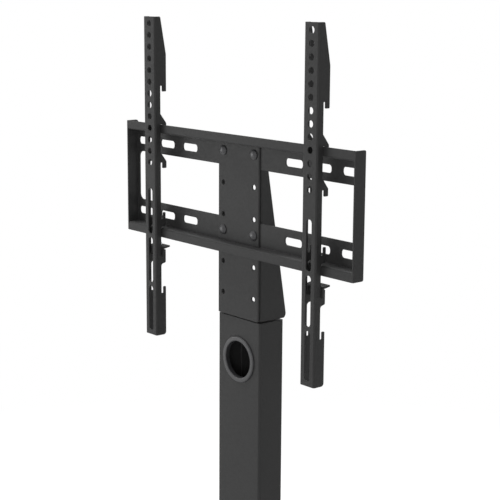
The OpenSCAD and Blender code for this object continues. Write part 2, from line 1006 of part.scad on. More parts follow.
// Screw in the tab, backed off; it rises behind the lower lip
module safety_screw() {
    color([0.55, 0.55, 0.56])
        at_safety()
            translate([0, 0, -safety_travel])
                difference() {
                    union() {
                        cylinder(d = safety_d, h = safety_len);
                        translate([0, 0, -safety_head_h])
                            cylinder(d = safety_head_d, h = safety_head_h);
                    }
                    translate([0, 0, -safety_head_h - over])
                        linear_extrude(safety_key_deep + over)
                            hexagon(safety_key);
                }
}

module rail_left() {
    translate([-rail_span / 2, 0, 0])
        rail();
}

module rail_right() {
    translate([rail_span / 2, 0, 0])
        rail();
}

module lock_left() {
    translate([-rail_span / 2, 0, 0])
        lock();
}

module lock_right() {
    translate([rail_span / 2, 0, 0])
        lock();
}

module safety_left() {
    translate([-rail_span / 2, 0, 0])
        safety_screw();
}

module safety_right() {
    translate([rail_span / 2, 0, 0])
        safety_screw();
}

base_plate();
rubber_feet();
foot_screws();
foot_flange();
flange_screws();
post();
post_cap();
cable_grommet();
lower_grommet();
pivot_bolt();
stop_pins();
slip_washer();
top_washer();
disc_springs();
pivot_nut();
head_bracket();
head_sole();
front_plate();
wall_plate();
clamp_bolts();
clamp_washers();
clamp_nuts();
rail_left();
lock_left();
safety_left();
rail_right();
lock_right();
safety_right();
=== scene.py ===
import json
import math
import random

import bmesh
import bpy
from mathutils import Matrix, Vector
from mathutils.bvhtree import BVHTree


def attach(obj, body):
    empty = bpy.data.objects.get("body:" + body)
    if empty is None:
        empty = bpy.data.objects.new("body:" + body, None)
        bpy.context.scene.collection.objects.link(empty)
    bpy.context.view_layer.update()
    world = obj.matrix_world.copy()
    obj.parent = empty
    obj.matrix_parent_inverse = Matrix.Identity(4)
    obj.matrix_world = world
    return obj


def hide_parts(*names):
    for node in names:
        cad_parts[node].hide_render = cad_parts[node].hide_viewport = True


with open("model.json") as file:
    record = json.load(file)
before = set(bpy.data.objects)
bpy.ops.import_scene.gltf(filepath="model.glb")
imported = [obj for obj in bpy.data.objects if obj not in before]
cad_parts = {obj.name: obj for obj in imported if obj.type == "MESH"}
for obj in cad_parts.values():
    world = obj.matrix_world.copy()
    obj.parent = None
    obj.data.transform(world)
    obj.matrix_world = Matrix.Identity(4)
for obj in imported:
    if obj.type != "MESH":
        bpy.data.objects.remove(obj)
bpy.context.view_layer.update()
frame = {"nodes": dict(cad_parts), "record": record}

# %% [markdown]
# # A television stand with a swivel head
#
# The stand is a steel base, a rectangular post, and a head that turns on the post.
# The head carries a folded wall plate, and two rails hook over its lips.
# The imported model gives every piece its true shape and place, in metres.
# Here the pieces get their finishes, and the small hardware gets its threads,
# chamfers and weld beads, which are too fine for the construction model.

MM = 0.001

# %% [markdown]
# ## The camera
#
# The photograph was taken from the front right and a little above the rails.
# Its place was found by matching known corners of the stand to their places in the
# picture. A long lens from about 1.7 m keeps the uprights almost parallel.
# A camera looks along its own -Z, so its turn is built from the view's azimuth and dip.

# %% Make the camera
AZIMUTH = 50.66
DIP = 11.15
ROLL = 0.17
LENS_MM = 96.69
SENSOR_MM = 36.0
SHIFT = (0.0457, -0.0016)
CAMERA_PLACE = (1.2909, -1.0981, 1.2929)

camera_data = bpy.data.cameras.new("photo_camera")
camera_data.lens = LENS_MM
camera_data.sensor_width = SENSOR_MM
camera_data.sensor_fit = "HORIZONTAL"
camera_data.shift_x, camera_data.shift_y = SHIFT
camera_data.clip_end = 60.0
camera = bpy.data.objects.new("photo_camera", camera_data)
bpy.context.scene.collection.objects.link(camera)
camera.matrix_world = (
    Matrix.Translation(CAMERA_PLACE)
    @ Matrix.Rotation(math.radians(AZIMUTH), 4, "Z")
    @ Matrix.Rotation(math.radians(90.0 - DIP), 4, "X")
    @ Matrix.Rotation(math.radians(ROLL), 4, "Z")
)
bpy.context.scene.camera = camera
bpy.context.scene.view_settings.view_transform = "Standard"
print("camera at", CAMERA_PLACE, "lens", LENS_MM, "mm")

# %% [markdown]
# ## Small helpers for materials
#
# Colours are written as the hex values that a paint chart gives. The renderer wants
# linear light, so one function turns them. Another adds a shader node with its
# settings and links, and the rest use it, so that each material reads as a short list.
# A Mix node has sockets for every kind of data, and those for colour go by number.
# Patterns and relief are sized in millimetres. They lie in Object coordinates, so they
# stay on their piece when it moves.


# %% Colour and node helpers
MIX_FACTOR, MIX_A, MIX_B, MIX_RESULT = 0, 6, 7, 2
PATTERN_LOW, PATTERN_HIGH = 0.3, 0.7
BEVEL_SAMPLES = 4


def linear(hex_colour):
    """Turns an sRGB hex colour such as "#2b2b2c" to linear RGBA."""
    channels = [int(hex_colour[i : i + 2], 16) / 255 for i in (1, 3, 5)]
    return [
        c / 12.92 if c <= 0.04045 else ((c + 0.055) / 1.055) ** 2.4 for c in channels
    ] + [1.0]


def add(tree, kind, settings=(), links=()):
    """Adds a node. Both lists pair a socket or property with its value or source."""
    node = tree.nodes.new(kind)
    for name, value in settings:
        if isinstance(name, int) or name in node.inputs:
            node.inputs[name].default_value = value
        else:
            setattr(node, name, value)
    for name, source in links:
        tree.links.new(source, node.inputs[name])
    return node


def new_material(name):
    """Gives a material with its tree, its shader and its Object coordinates."""
    material = bpy.data.materials.new(name)
    material.use_nodes = True
    tree = material.node_tree
    tree.nodes.clear()
    shader = add(tree, "ShaderNodeBsdfPrincipled")
    add(tree, "ShaderNodeOutputMaterial", links=[("Surface", shader.outputs["BSDF"])])
    place = add(tree, "ShaderNodeTexCoord").outputs["Object"]
    return material, tree, shader, place


def noise(tree, place, size_mm, detail, roughness):
    """A cloudy pattern whose features are size_mm across."""
    scale = 1.0 / (size_mm * MM)
    settings = [("Scale", scale), ("Detail", detail), ("Roughness", roughness)]
    return add(tree, "ShaderNodeTexNoise", settings, [("Vector", place)]).outputs["Fac"]


def two_tones(tree, pattern, hex_a, hex_b):
    """A colour that wanders between two, as the pattern does."""
    settings = [("data_type", "RGBA"), (MIX_A, linear(hex_a)), (MIX_B, linear(hex_b))]
    return add(tree, "ShaderNodeMix", settings, [(MIX_FACTOR, pattern)]).outputs[MIX_RESULT]


def from_pattern(tree, pattern, low, high):
    """A value that follows the middle of the pattern from low to high."""
    settings = [("From Min", PATTERN_LOW), ("From Max", PATTERN_HIGH)]
    settings += [("To Min", low), ("To Max", high)]
    return add(tree, "ShaderNodeMapRange", settings, [("Value", pattern)]).outputs["Result"]


def round_edges(tree, radius_mm):
    """The normal of the surface with its edges rounded, for the look alone."""
    settings = [("samples", BEVEL_SAMPLES), ("Radius", radius_mm * MM)]
    return add(tree, "ShaderNodeBevel", settings).outputs["Normal"]


def relief(tree, pattern, strength, depth_mm, under=None):
    """The normal of a fine relief, laid on the normal under it."""
    settings = [("Strength", strength), ("Distance", depth_mm * MM)]
    links = [("Height", pattern)]
    if under is not None:
        links.append(("Normal", under))
    return add(tree, "ShaderNodeBump", settings, links).outputs["Normal"]


def connect(tree, shader, colour, roughness, normal):
    """Leads the three patterns to the shader."""
    sources = {"Base Color": colour, "Roughness": roughness, "Normal": normal}
    for socket, source in sources.items():
        tree.links.new(source, shader.inputs[socket])


print("the paint #353535 in linear light:", [round(v, 4) for v in linear("#353535")])

# %% [markdown]
# ## Powder coat
#
# The sheet steel is powder coated: dry paint is sprayed on and melted in an oven.
# It flows into a skin with a fine, even orange peel, matt to satin, and it draws back
# from sharp edges, so an edge looks a little rounder and catches a line of light.
# Orange peel is about 0.8 mm from crest to crest. At this distance a millimetre is less
# than a pixel, so a second, coarser wave of 3 mm is added to be seen.
# The resin alone would have an index of 1.5. Matting powder in the skin makes it mirror
# less, and the photograph shows a dull, even black, which an index of 1.3 matches.
# A Bevel node rounds the look of the edges without a change to the mesh.

# %% Black powder coat
COAT_HEX = "#353535"
COAT_WORN_HEX = "#3b3b3b"
COAT_ROUGHNESS = (0.50, 0.60)
COAT_IOR = 1.3
PEEL_MM = 0.8
PEEL_DEPTH_MM = 0.03
PEEL_STRENGTH = 0.25
WAVE_MM = 3.0
WAVE_DEPTH_MM = 0.06
WAVE_STRENGTH = 0.10
COAT_CLOUD_MM = 70.0
COAT_EDGE_MM = 0.5


def make_powder_coat():
    material, tree, shader, place = new_material("black_powder_coat")
    peel = noise(tree, place, PEEL_MM, detail=1.0, roughness=0.4)
    wave = noise(tree, place, WAVE_MM, detail=2.0, roughness=0.5)
    cloud = noise(tree, place, COAT_CLOUD_MM, detail=3.0, roughness=0.6)
    colour = two_tones(tree, cloud, COAT_HEX, COAT_WORN_HEX)
    gloss = from_pattern(tree, wave, *COAT_ROUGHNESS)
    edge = round_edges(tree, COAT_EDGE_MM)
    waves = relief(tree, wave, WAVE_STRENGTH, WAVE_DEPTH_MM, edge)
    skin = relief(tree, peel, PEEL_STRENGTH, PEEL_DEPTH_MM, waves)
    connect(tree, shader, colour, gloss, skin)
    shader.inputs["IOR"].default_value = COAT_IOR
    return material


powder_coat = make_powder_coat()
print("made", powder_coat.name, "with", len(powder_coat.node_tree.nodes), "nodes")

# %% [markdown]
# ## Bare and plated metal
#
# The pivot hardware, the nuts, the washers and the safety screws are zinc plated.
# Zinc is a pale, slightly blue metal with a soft shine and faint clouds from the bath.
# The domed bolts and the foot screws are black oxide, a dark conversion layer under
# oil. It is hardly metallic to the eye, but glossier than the coat round it.


# %% Zinc plate and black oxide
PLATE_CLOUD_MM = 4.0
PLATE_EDGE_MM = 0.2


def make_plated(name, hex_a, hex_b, metallic, gloss_range):
    material, tree, shader, place = new_material(name)
    cloud = noise(tree, place, PLATE_CLOUD_MM, detail=4.0, roughness=0.6)
    colour = two_tones(tree, cloud, hex_a, hex_b)
    gloss = from_pattern(tree, cloud, *gloss_range)
    connect(tree, shader, colour, gloss, round_edges(tree, PLATE_EDGE_MM))
    shader.inputs["Metallic"].default_value = metallic
    return material


zinc_plate = make_plated("bright_zinc_plate", "#c3c6c9", "#9fa3a8", 1.0, (0.28, 0.42))
black_oxide = make_plated("black_oxide_steel", "#4c4c4e", "#3a3a3c", 0.15, (0.30, 0.38))
print("made", zinc_plate.name, "and", black_oxide.name)

# %% [markdown]
# ## Plastic and rubber
#
# The cable rings are moulded in black plastic with a fine spark-eroded grain, which
# gives a soft, even shine. The slip washer is black acetal, waxy and a little shinier.
# The pads are moulded rubber: darker, dull, and a little dusty.


# %% Moulded plastics and rubber
MOULDED_CLOUD_MM = 12.0
GRAIN_STRENGTH = 0.3
PLASTIC_IOR = 1.5


def make_moulded(name, hex_a, hex_b, grain_mm, grain_depth_mm, gloss_range):
    material, tree, shader, place = new_material(name)
    grain = noise(tree, place, grain_mm, detail=2.0, roughness=0.5)
    cloud = noise(tree, place, MOULDED_CLOUD_MM, detail=2.0, roughness=0.5)
    colour = two_tones(tree, cloud, hex_a, hex_b)
    gloss = from_pattern(tree, cloud, *gloss_range)
    connect(tree, shader, colour, gloss, relief(tree, grain, GRAIN_STRENGTH, grain_depth_mm))
    shader.inputs["IOR"].default_value = PLASTIC_IOR
    return material


ring_plastic = make_moulded(
    "black_moulded_plastic", "#343436", "#3c3c3e", 0.6, 0.03, (0.36, 0.46)
)
acetal = make_moulded("black_acetal", "#1b1b1d", "#222224", 0.8, 0.02, (0.34, 0.42))
rubber = make_moulded("moulded_rubber", "#161616", "#242322", 0.5, 0.05, (0.78, 0.92))
print("made", ring_plastic.name, acetal.name, rubber.name)

# %% [markdown]
# ## Finishes on the construction pieces
#
# The record lists one finish for each node. The table here says which material
# stands for it.

# %% Put the materials on
COAT = "powder_coated_steel"
OXIDE = "black_oxide_steel"
ZINC = "zinc_plated_steel"
PLASTIC = "black_plastic"
SLIP = "slip_plastic"
RUBBER = "rubber"
FINISHES = {
    COAT: powder_coat,
    OXIDE: black_oxide,
    ZINC: zinc_plate,
    PLASTIC: ring_plastic,
    SLIP: acetal,
    RUBBER: rubber,
}
for part in frame["record"]["subparts"]:
    mesh = frame["nodes"][part["node"]].data
    mesh.materials.clear()
    mesh.materials.append(FINISHES[part["material_slot"]])

# %% [markdown]
# ## Helpers for new pieces
#
# A piece is shaped as a bmesh, Blender's editable mesh, and then made an object.
# Its place is in its mesh, so the object itself stays at the origin, as the
# construction nodes do. Each piece is tied to the body that it moves with and to the
# finish that the record names. Smooth shading stops at the sharp edges, and a Weighted
# Normal modifier lets each large face keep its own direction, so that flat sheet stays
# flat right up to its rounded edge.
# An edge is sharp above 30 degrees. A soft copy has its edges rounded in two steps of
# up to 45 degrees each, so its limit is 50.


# %% From a bmesh to a piece
CREASE_DEG = 30.0
SOFT_CREASE_DEG = 50.0


def make_piece(name, shape, body, slot, replaced=None, crease_deg=CREASE_DEG):
    """Makes a bmesh an object, gives it its finish, and ties it to its body."""
    mesh = bpy.data.meshes.new(name)
    shape.to_mesh(mesh)
    shape.free()
    mesh.shade_smooth()
    mesh.set_sharp_from_angle(angle=math.radians(crease_deg))
    mesh.materials.append(FINISHES[slot])
    piece = bpy.data.objects.new(name, mesh)
    bpy.context.scene.collection.objects.link(piece)
    piece.modifiers.new("flat_faces_stay_flat", "WEIGHTED_NORMAL").keep_sharp = True
    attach(piece, body)
    if replaced:
        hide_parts(replaced)
    print(f"{name}: {len(mesh.polygons)} faces, rides on {body}")


def joined(shapes):
    """Puts several bmeshes together in one, and frees them."""
    whole = bmesh.new()
    for shape in shapes:
        step = bpy.data.meshes.new("step")
        shape.to_mesh(step)
        whole.from_mesh(step)
        shape.free()
        bpy.data.meshes.remove(step)
    return whole


def placed(shape, matrix):
    """A moved copy of a bmesh."""
    copy = shape.copy()
    bmesh.ops.transform(copy, matrix=matrix, verts=copy.verts)
    return copy


def at(x, y, z):
    """A shift, given in millimetres."""
    return Matrix.Translation(Vector((x, y, z)) * MM)


# %% [markdown]
# ## Painted sheet metal
#
# A laser or a punch leaves a square edge on sheet steel, and the coat then rounds it
# to two or three tenths of a millimetre. That small round is what catches a thin line
# of light along every edge, so it is made in the mesh and not only in the shader.
# The construction mesh is loose triangles: a copy is merged to one skin, its flat
# triangles are joined to whole faces, and the sharp edges are bevelled.
# Where three folds meet in a corner, a bevel can throw a spike. Such spots are found
# where the new skin folds back or stands off the old one, and the edges near them are
# left square on the next try.


# %% Soft-edged copies of construction nodes
MERGE_MM = 0.002
FLAT_DEG = 0.5
SHARP_DEG = 35.0
SPIKE_FOLD_DEG = 120.0
SPIKE_REACH = 1.5
SPIKE_NEAR_MM = 1.0
TRIES = 4


def merged_copy(node):
    """A copy of a construction node as one skin with whole flat faces."""
    shape = bmesh.new()
    shape.from_mesh(frame["nodes"][node].data)
    bmesh.ops.remove_doubles(shape, verts=shape.verts, dist=MERGE_MM * MM)
    bmesh.ops.dissolve_limit(
        shape, angle_limit=math.radians(FLAT_DEG), verts=shape.verts, edges=shape.edges
    )
    return shape


def sharp_edges(shape, spikes):
    """The edges to round, without those that threw a spike before."""
    near = SPIKE_NEAR_MM * MM
    return [
        edge
        for edge in shape.edges
        if edge.calc_face_angle(0.0) > math.radians(SHARP_DEG)
        and not any((v.co - spike).length < near for v in edge.verts for spike in spikes)
    ]


def find_spikes(shape, old_skin, round_mm):
    """Places where the bevelled skin folds back or stands off the old one."""
    fold = math.radians(SPIKE_FOLD_DEG)
    reach = SPIKE_REACH * round_mm * MM
    folded = [e.verts[0].co.copy() for e in shape.edges if e.calc_face_angle(0.0) > fold]
    far = [v.co.copy() for v in shape.verts if old_skin.find_nearest(v.co)[3] > reach]
    return folded + far


def soft_copy(node, round_mm):
    """A merged copy of a node, its sharp edges rounded over round_mm."""
    old = merged_copy(node)
    old_skin = BVHTree.FromBMesh(old)
    old.free()
    spikes = []
    for tries_left in reversed(range(TRIES)):
        shape = merged_copy(node)
        sharp = sharp_edges(shape, spikes)
        bmesh.ops.bevel(
            shape,
            geom=sharp,
            offset=round_mm * MM,
            offset_type="OFFSET",
            segments=2,
            profile=0.5,
            affect="EDGES",
            material=-1,
            clamp_overlap=False,
            loop_slide=False,
        )
        stray = find_spikes(shape, old_skin, round_mm)
        if not stray or not tries_left:
            break
        spikes += stray
        shape.free()
    print(f"{node}: {len(sharp)} edges rounded over {round_mm} mm")
    return shape


# %% [markdown]
# ## The painted pieces
#
# Thin sheet gets a round of 0.3 mm, and the thick plates of the foot a larger one.
# Each line names the node, the body that it moves with, and the round in millimetres.

# %% Painted pieces
PAINTED = [
    ("base_plate", "stand", 1.0),
    ("foot_flange", "stand", 0.6),
    ("post", "stand", 0.3),
    ("head_bracket", "head", 0.3),
    ("head_sole", "head", 0.3),
    ("front_plate", "head", 0.3),
    ("wall_plate", "head", 0.3),
    ("rail_left", "rail_left_body", 0.3),
    ("rail_right", "rail_right_body", 0.3),
    ("lock_left", "rail_left_body", 0.3),
    ("lock_right", "rail_right_body", 0.3),
]
for node, body, round_mm in PAINTED:
    soft = soft_copy(node, round_mm)
    make_piece(node + "_painted", soft, body, COAT, node, SOFT_CREASE_DEG)

# %% [markdown]
# ## Button screws, washers and pins
#
# The small turned and stamped parts already have their true shape in the construction
# model, sockets included. They only lack the soft edge of a stamped or plated part.

# %% Small parts with soft edges
SMALL = [
    ("flange_screws", "stand", OXIDE, 0.25),
    ("slip_washer", "stand", SLIP, 0.2),
    ("stop_pins", "stand", ZINC, 0.4),
    ("top_washer", "head", ZINC, 0.2),
    ("clamp_washers", "head", ZINC, 0.2),
]
for node, body, slot, round_mm in SMALL:
    soft = soft_copy(node, round_mm)
    make_piece(node + "_finished", soft, body, slot, node, SOFT_CREASE_DEG)

# %% [markdown]
# ## Turned parts
#
# Anything made on a lathe is a flat outline turned about an axis. Here an outline is
# a list of radius and height pairs in millimetres, and bmesh's spin turns it about Z.
# A full spin needs use_merge, so that the last step closes on the first. Points on
# the axis fall together, so doubles are merged before the normals are recalculated.


# %% Lathe, arcs and hexagon cuts
ORIGIN = (0.0, 0.0, 0.0)
UP = Vector((0.0, 0.0, 1.0))
TURNED_MERGE_MM = 0.0005
CUT_MM = 0.0001
FLATS = 6
TO_CORNER = 1.0 / math.cos(math.pi / FLATS)


def turned(outline, steps=48, ring=True):
    """Turns an outline about Z. ring closes it first, for a part with a bore."""
    shape = bmesh.new()
    verts = [shape.verts.new((radius * MM, 0.0, height * MM)) for radius, height in outline]
    edges = [shape.edges.new(pair) for pair in zip(verts, verts[1:])]
    if ring:
        edges.append(shape.edges.new((verts[-1], verts[0])))
    bmesh.ops.spin(
        shape,
        geom=verts + edges,
        cent=ORIGIN,
        axis=UP,
        angle=math.tau,
        steps=steps,
        use_merge=True,
    )
    bmesh.ops.remove_doubles(shape, verts=shape.verts, dist=TURNED_MERGE_MM * MM)
    bmesh.ops.recalc_face_normals(shape, faces=shape.faces)
    return shape


def arc(centre, radius, start_deg, end_deg, steps=5):
    """Points on an arc of an outline, angles from the outline's radius axis."""
    points = []
    for i in range(steps + 1):
        turn = math.radians(start_deg + (end_deg - start_deg) * i / steps)
        out = centre[0] + radius * math.cos(turn)
        height = centre[1] + radius * math.sin(turn)
        points.append((out, height))
    return points


def around_z(turn):
    """The direction at an angle round the Z axis."""
    return Vector((math.cos(turn), math.sin(turn), 0.0))


def cut_flat(shape, point, normal):
    """Cuts off all that lies beyond a plane, and closes the cut."""
    cut = bmesh.ops.bisect_plane(
        shape,
        geom=shape.verts[:] + shape.edges[:] + shape.faces[:],
        dist=CUT_MM * MM,
        plane_co=point,
        plane_no=normal,
        clear_outer=True,
    )
    rim = [item for item in cut["geom_cut"] if isinstance(item, bmesh.types.BMEdge)]
    open_rim = [edge for edge in rim if edge.is_boundary]
    bmesh.ops.holes_fill(shape, edges=open_rim, sides=0)


def hexagon_cut(shape, across_flats):
    """Cuts six flats on a turned blank, which leaves the curved chamfer of a real nut."""
    for i in range(FLATS):
        normal = around_z((i + 0.5) * math.tau / FLATS)
        cut_flat(shape, normal * across_flats / 2 * MM, normal)


quarter_arc = arc((0, 0), 1, 0, 90, steps=4)
print("a 1 mm arc in four steps:", [tuple(round(c, 2) for c in p) for p in quarter_arc])

# %% [markdown]
# ## Screw threads
#
# A thread is one notch that climbs one pitch in each turn. The outline of one pitch,
# with its flat root and crest and two flanks that stand at about 60 degrees to each
# other, is spun about Z while each step also lifts it. Neighbouring turns then share
# their edges and are merged. The spin runs a turn past each end, and a cut there
# squares the rod off and closes it.


# %% A threaded rod
THREAD_DEPTH_SHARE = 0.6134
ROOT_SHARES = (0.125, 0.875)
CREST_SHARES = (0.4375, 0.5625)
SPARE_TURNS = 2
THREAD_MERGE_MM = 0.002
END_TRIM_MM = 0.013
TIP_LEAN_DEG = 35.0
TIP_DEPTH_SHARE = 0.12
TIP_CUTS = 16


def threaded_rod(diameter, pitch, length, steps=20):
    """A rod with a right-hand thread from z = 0 up, sizes in millimetres."""
    crest = diameter / 2
    root = crest - THREAD_DEPTH_SHARE * pitch
    one_pitch = [(root, 0.0), (root, ROOT_SHARES[0]), (crest, CREST_SHARES[0])]
    one_pitch += [(crest, CREST_SHARES[1]), (root, ROOT_SHARES[1]), (root, 1.0)]
    turns = math.ceil(length / pitch) + SPARE_TURNS
    shape = bmesh.new()
    verts = [shape.verts.new((r * MM, 0.0, (z - 1.0) * pitch * MM)) for r, z in one_pitch]
    edges = [shape.edges.new(pair) for pair in zip(verts, verts[1:])]
    bmesh.ops.spin(
        shape,
        geom=verts + edges,
        cent=ORIGIN,
        axis=UP,
        dvec=(0.0, 0.0, pitch / steps * MM),
        angle=math.tau * turns,
        steps=steps * turns,
    )
    bmesh.ops.remove_doubles(shape, verts=shape.verts, dist=THREAD_MERGE_MM * MM)
    bmesh.ops.recalc_face_normals(shape, faces=shape.faces)
    cut_flat(shape, (0.0, 0.0, END_TRIM_MM * MM), -UP)
    cut_flat(shape, (0.0, 0.0, (length - END_TRIM_MM) * MM), UP)
    bmesh.ops.recalc_face_normals(shape, faces=shape.faces)
    return shape


def tapered_tip(shape, length, diameter):
    """Cuts the lead-in chamfer at the end of a threaded rod."""
    lean = math.radians(TIP_LEAN_DEG)
    tip_radius = diameter / 2 - TIP_DEPTH_SHARE * diameter
    for i in range(TIP_CUTS):
        outward = around_z(i * math.tau / TIP_CUTS)
        normal = outward * math.cos(lean) + UP * math.sin(lean)
        point = outward * tip_radius * MM + Vector((0.0, 0.0, length * MM))
        cut_flat(shape, point, normal)


print("depth of an M6 thread of 1 mm pitch:", THREAD_DEPTH_SHARE, "mm")

# %% [markdown]
# ## Domed clamp bolts
#
# Four bolts clamp the front plate, the wall plate and the bracket together. Their
# heads are smooth low domes with a rounded rim, so that nothing catches on them.
# The thread shows only behind the nuts.

# %% Clamp bolts
BOLT_X = 30.0
BOLT_ROWS = (1085.8, 983.3)
Y_FRONT = -22.0
BOLT_D = 6.0
BOLT_PITCH = 1.0
DOME_R = 6.4
DOME_H = 3.3
RIM_H = 1.1
RIM_INSET = 0.25
RIM_ROUND = 0.9
RIM_ROUND_Z = 0.75
RIM_UNDER_DEG = -56.0
CROWN_DEG = 88.0
SHANK_H = 6.0
BOLT_LENGTH = 13.6
cap_h = DOME_H - RIM_H
cap_r = (DOME_R**2 + cap_h**2) / (2 * cap_h)
cap_edge_deg = math.degrees(math.acos((DOME_R - RIM_INSET) / cap_r))
forward = Matrix.Rotation(math.radians(90.0), 4, "X")
backward = Matrix.Rotation(math.radians(-90.0), 4, "X")
upside_down = Matrix.Rotation(math.pi, 4, "X")

bolt_head = turned(
    [(0.0, DOME_H)]
    + arc((0.0, DOME_H - cap_r), cap_r, CROWN_DEG, cap_edge_deg, steps=10)
    + arc((DOME_R - RIM_ROUND, RIM_ROUND_Z), RIM_ROUND, 0.0, RIM_UNDER_DEG, steps=4)
    + [(BOLT_D / 2, 0.0), (BOLT_D / 2, -SHANK_H), (0.0, -SHANK_H)],
    ring=False,
)
bolt_end = threaded_rod(BOLT_D, BOLT_PITCH, BOLT_LENGTH - SHANK_H)
tapered_tip(bolt_end, BOLT_LENGTH - SHANK_H, BOLT_D)
bolt = joined([bolt_head, placed(bolt_end, at(0, 0, -SHANK_H) @ upside_down)])
places = [(side * BOLT_X, z) for side in (-1, 1) for z in BOLT_ROWS]
bolts = [placed(bolt, at(x, Y_FRONT, z) @ forward) for x, z in places]
make_piece("clamp_bolts_domed", joined(bolts), "head", OXIDE, "clamp_bolts")

# %% [markdown]
# ## The nuts behind the bracket
#
# A turned blank has cone-shaped ends. Where the six flats cut the cones, they leave
# the arched edges that every real nut has. The bore is chamfered at both ends.


# %% Hexagon nuts
Y_NUT = -14.6
CLAMP_NUT_FLATS = 10.0
CLAMP_NUT_H = 5.0
CLAMP_NUT_BORE_R = 3.05
NUT_STEPS = 72
NUT_FACE_SHARE = 0.95
NUT_CHAMFER_DEG = 30.0
BORE_CHAMFER = 0.4
CORNER_EXTRA = 0.05


def corner_radius(across_flats):
    """The radius of a blank that a hexagon is cut from."""
    return across_flats / 2 * TO_CORNER + CORNER_EXTRA


def hexagon_nut(across_flats, height, bore):
    """A nut from z = 0 up, chamfered at both ends and in its bore."""
    corner = corner_radius(across_flats)
    face = across_flats / 2 * NUT_FACE_SHARE
    drop = (corner - face) * math.tan(math.radians(NUT_CHAMFER_DEG))
    mouth = bore + BORE_CHAMFER
    blank = turned(
        [(mouth, 0.0), (face, 0.0), (corner, drop), (corner, height - drop)]
        + [(face, height), (mouth, height), (bore, height - BORE_CHAMFER)]
        + [(bore, BORE_CHAMFER)],
        NUT_STEPS,
    )
    hexagon_cut(blank, across_flats)
    return blank


clamp_nut = hexagon_nut(CLAMP_NUT_FLATS, CLAMP_NUT_H, CLAMP_NUT_BORE_R)
nuts = [placed(clamp_nut, at(x, Y_NUT, z) @ backward) for x, z in places]
make_piece("clamp_nuts_chamfered", joined(nuts), "head", ZINC, "clamp_nuts")

# %% [markdown]
# ## The pivot
#
# The head turns on a bolt that stands up through the cap of the post. Two cone
# springs under a lock nut press the head on its slip washer, so that it holds where
# it is left. The lock nut has a rolled collar with a plastic ring in it, which grips
# the thread.

# %% Pivot bolt
Z_BOLT = 858.5
Z_THREAD = 876.0
Z_PIVOT_END = 889.9
PIVOT_D = 12.0
PIVOT_PITCH = 1.75
PIVOT_FLATS = 19.0
PIVOT_HEAD_H = 7.5
PIVOT_FACE_R = 9.0
PIVOT_CHAMFER = 1.2
PIVOT_THREAD_STEPS = 28
pivot_corner = corner_radius(PIVOT_FLATS)
shank_top = Z_THREAD - Z_BOLT
thread_length = Z_PIVOT_END - Z_THREAD

pivot_head = turned(
    [(0.0, 0.0), (PIVOT_FACE_R, 0.0), (pivot_corner, PIVOT_CHAMFER)]
    + [(pivot_corner, PIVOT_HEAD_H), (PIVOT_D / 2, PIVOT_HEAD_H)]
    + [(PIVOT_D / 2, shank_top), (0.0, shank_top)],
    NUT_STEPS,
    ring=False,
)
hexagon_cut(pivot_head, PIVOT_FLATS)
pivot_end = threaded_rod(PIVOT_D, PIVOT_PITCH, thread_length, PIVOT_THREAD_STEPS)
tapered_tip(pivot_end, thread_length, PIVOT_D)
pivot = joined([placed(pivot_head, at(0, 0, Z_BOLT)), placed(pivot_end, at(0, 0, Z_THREAD))])
make_piece("pivot_bolt_threaded", pivot, "stand", ZINC, "pivot_bolt")

# %% [markdown]
# ## Disc springs
#
# Each spring is a flat cone. The first rests on its outer rim, and the second is turned
# over. They meet at their bores, and together they give twice the travel of one.

# %% Disc springs
Z_SPRINGS = 877.3
SPRING_BORE_R = 6.05
SPRING_R = 12.5
SPRING_T = 1.2
SPRING_CONE = 0.5
SPRING_EDGE = 0.1
SPRING_STEPS = 64
springs = []
for i, (inner, outer) in enumerate(((SPRING_CONE, 0.0), (0.0, SPRING_CONE))):
    cone = turned(
        [(SPRING_BORE_R + SPRING_EDGE, inner), (SPRING_R - SPRING_EDGE, outer)]
        + [(SPRING_R, outer + SPRING_EDGE), (SPRING_R, outer + SPRING_T - SPRING_EDGE)]
        + [(SPRING_R - SPRING_EDGE, outer + SPRING_T)]
        + [(SPRING_BORE_R + SPRING_EDGE, inner + SPRING_T)]
        + [(SPRING_BORE_R, inner + SPRING_T - SPRING_EDGE)]
        + [(SPRING_BORE_R, inner + SPRING_EDGE)],
        SPRING_STEPS,
    )
    springs.append(placed(cone, at(0, 0, Z_SPRINGS + i * (SPRING_T + SPRING_CONE))))
make_piece("disc_springs_coned", joined(springs), "head", ZINC, "disc_springs")

# %% [markdown]
# ## Lock nut
#
# The nut is one outline: its chamfered hexagon, then the thin collar that is rolled
# over the plastic ring. The ring is a piece of its own, a hair smaller than its seat.

# %% Lock nut and its grip ring
Z_NUT = 880.7
NUT_TOP = 6.4
NUT_SHOULDER = 5.2
NUT_MOUTH_R = 6.45
NUT_BORE_R = 6.05
COLLAR_R = 8.0
COLLAR_INNER_R = 7.0
COLLAR_ROUND = 0.6
COLLAR_TOP = 8.0
RING_SEAT = 7.2
RING_PLAY = 0.02
RING_TOP = 7.95
RING_CHAMFER = 0.15
RING_CHAMFER_IN = 0.18

lock_nut = turned(
    [(NUT_MOUTH_R, 0.0), (PIVOT_FACE_R, 0.0), (pivot_corner, PIVOT_CHAMFER)]
    + [(pivot_corner, NUT_SHOULDER), (PIVOT_FACE_R, NUT_TOP), (COLLAR_R, NUT_TOP)]
    + arc((COLLAR_R - COLLAR_ROUND, COLLAR_TOP - COLLAR_ROUND), COLLAR_ROUND, 0.0, 90.0, steps=4)
    + [(COLLAR_INNER_R, COLLAR_TOP), (COLLAR_INNER_R, RING_SEAT)]
    + [(NUT_BORE_R, RING_SEAT), (NUT_BORE_R, BORE_CHAMFER)],
    NUT_STEPS,
)
hexagon_cut(lock_nut, PIVOT_FLATS)
lock_nut = placed(lock_nut, at(0, 0, Z_NUT))
make_piece("pivot_lock_nut", lock_nut, "head", ZINC, "pivot_nut")

